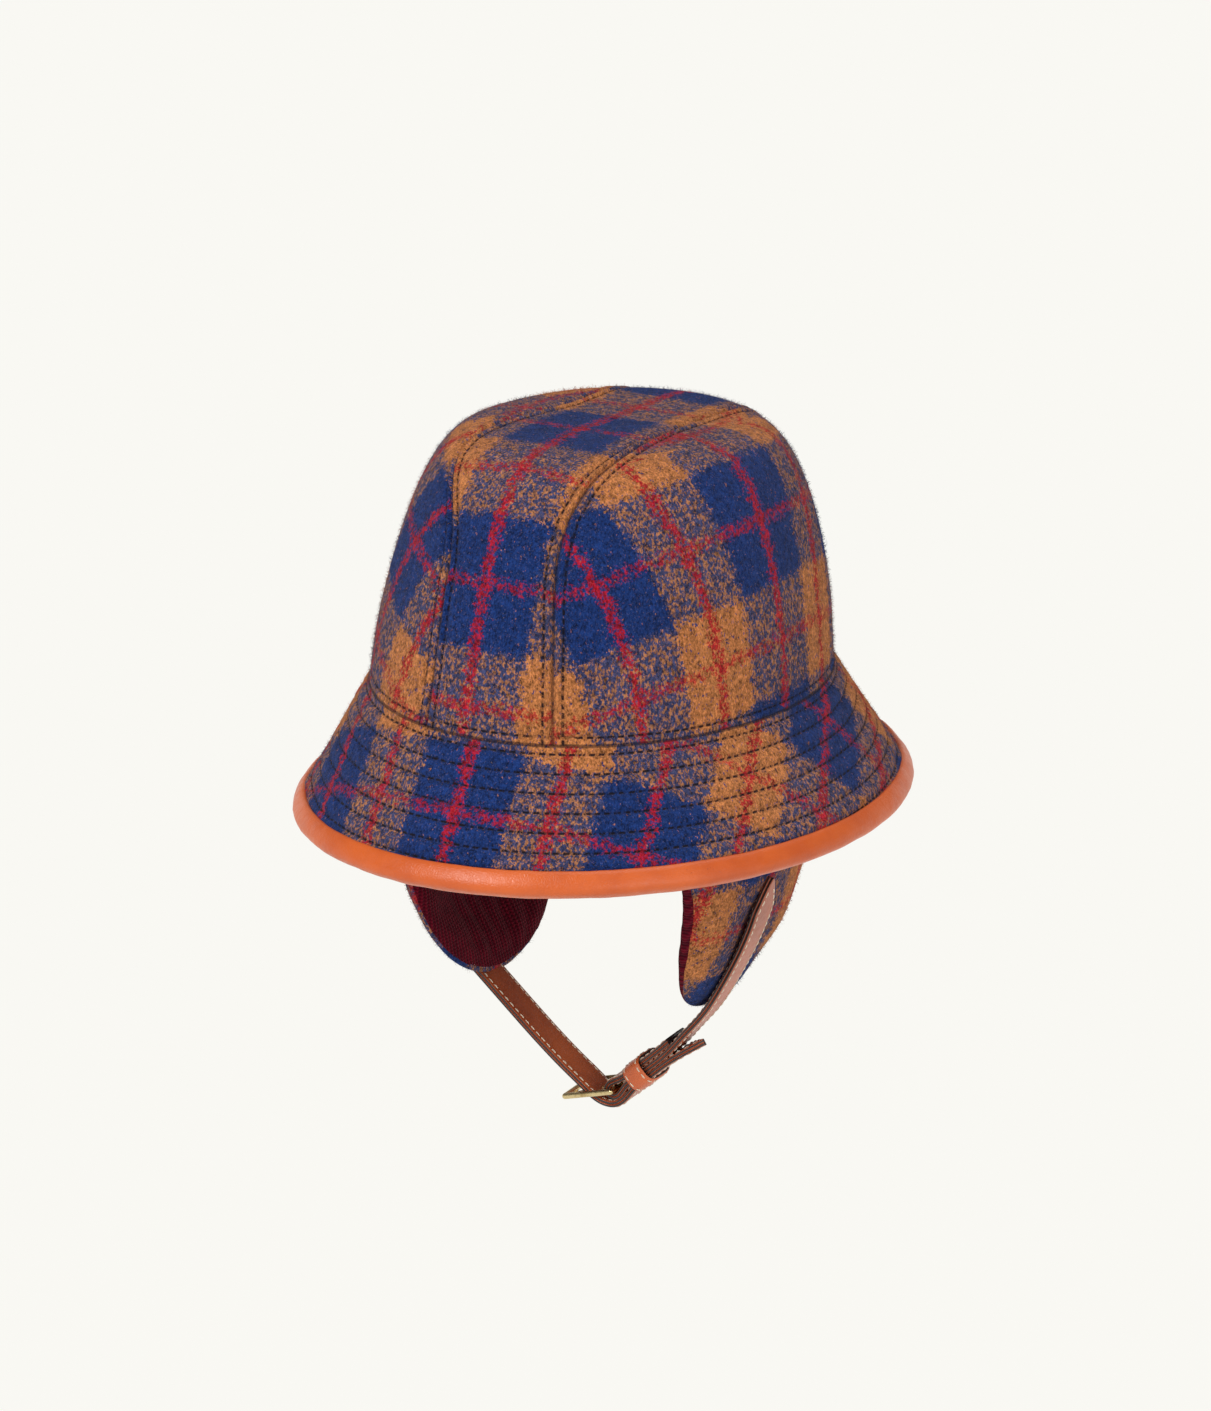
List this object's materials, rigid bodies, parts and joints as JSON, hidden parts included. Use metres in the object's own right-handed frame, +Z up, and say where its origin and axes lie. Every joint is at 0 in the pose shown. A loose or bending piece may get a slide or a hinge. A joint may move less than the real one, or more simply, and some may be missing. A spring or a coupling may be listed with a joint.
{
  "type": "trapper hat",
  "caption": "Plaid wool hat with a quilted downturned brim bound in leather, two padded ear flaps on hinge lines, and a leather chin strap closed by a buckle and keeper",
  "frame": {"origin": "middle of the head opening, in the plane where the crown meets the brim", "axes": "+Z up through the crown, the wearer's front is -Y, the wearer's left is +X"},
  "size_m": [0.2291, 0.2835, 0.2723],
  "materials": {
    "plaid_wool": "brushed plaid wool, navy, tan and red",
    "burgundy_knit": "fine rib knit",
    "sweatband_cotton": "woven tape",
    "wadding": "lofted wadding",
    "binding_leather": "smooth tan leather",
    "strap_leather": "smooth saddle leather, painted edges",
    "strap_backing": "smooth brown leather",
    "brass": "polished"
  },
  "bodies": {
    "hat": {"crown_centre_panel": "plaid_wool", "crown_side_panel_left": "plaid_wool", "crown_side_panel_right": "plaid_wool", "lining_centre_panel": "burgundy_knit", "lining_side_panel_left": "burgundy_knit", "lining_side_panel_right": "burgundy_knit", "sweatband": "sweatband_cotton", "brim_upper": "plaid_wool", "brim_interlining": "wadding", "brim_underside": "plaid_wool", "brim_binding": "binding_leather"},
    "flap_left": {"flap_left_outer": "plaid_wool", "flap_left_padding": "wadding", "flap_left_lining": "burgundy_knit"},
    "flap_right": {"flap_right_outer": "plaid_wool", "flap_right_padding": "wadding", "flap_right_lining": "burgundy_knit"},
    "strap_left": {"strap_left_outer": "strap_leather", "strap_left_back": "strap_backing"},
    "strap_right": {"strap_right_outer": "strap_leather", "strap_right_back": "strap_backing"},
    "buckle": {"buckle_frame": "brass"},
    "prong": {"buckle_prong": "brass"},
    "keeper": {"strap_keeper": "strap_leather"}
  },
  "joints": [
    {"name": "flap_left_swing", "type": "hinge", "parent": "hat", "child": "flap_left", "pos_m": [0.0757, 0.006, 0], "axis": [0, -1, 0], "range_deg": [-3, 18]},
    {"name": "flap_right_swing", "type": "hinge", "parent": "hat", "child": "flap_right", "pos_m": [-0.0757, 0.006, 0], "axis": [0, 1, 0], "range_deg": [-3, 18]},
    {"name": "strap_left_swing", "type": "hinge", "parent": "flap_left", "child": "strap_left", "pos_m": [0.0545, -0.0085, -0.127], "axis": [0, -1, 0], "range_deg": [-12, 25], "deforming": ["strap_left_outer", "strap_left_back"]},
    {"name": "strap_right_swing", "type": "hinge", "parent": "flap_right", "child": "strap_right", "pos_m": [-0.0425, -0.0085, -0.1245], "axis": [0, 1, 0], "range_deg": [-12, 25], "deforming": ["strap_right_outer", "strap_right_back"]},
    {"name": "buckle_swing", "type": "hinge", "parent": "strap_left", "child": "buckle", "pos_m": [0.018, -0.0085, -0.166], "axis": [0, 1, 0], "range_deg": [-18, 6]},
    {"name": "prong_swing", "type": "hinge", "parent": "buckle", "child": "prong", "pos_m": [0.018, -0.0085, -0.166], "axis": [0, -1, 0], "range_deg": [0, 60]},
    {"name": "keeper_slide", "type": "slide", "parent": "strap_left", "child": "keeper", "axis": [0.7071, 0, 0.7071], "range_m": [-0.004, 0.006]}
  ]
}
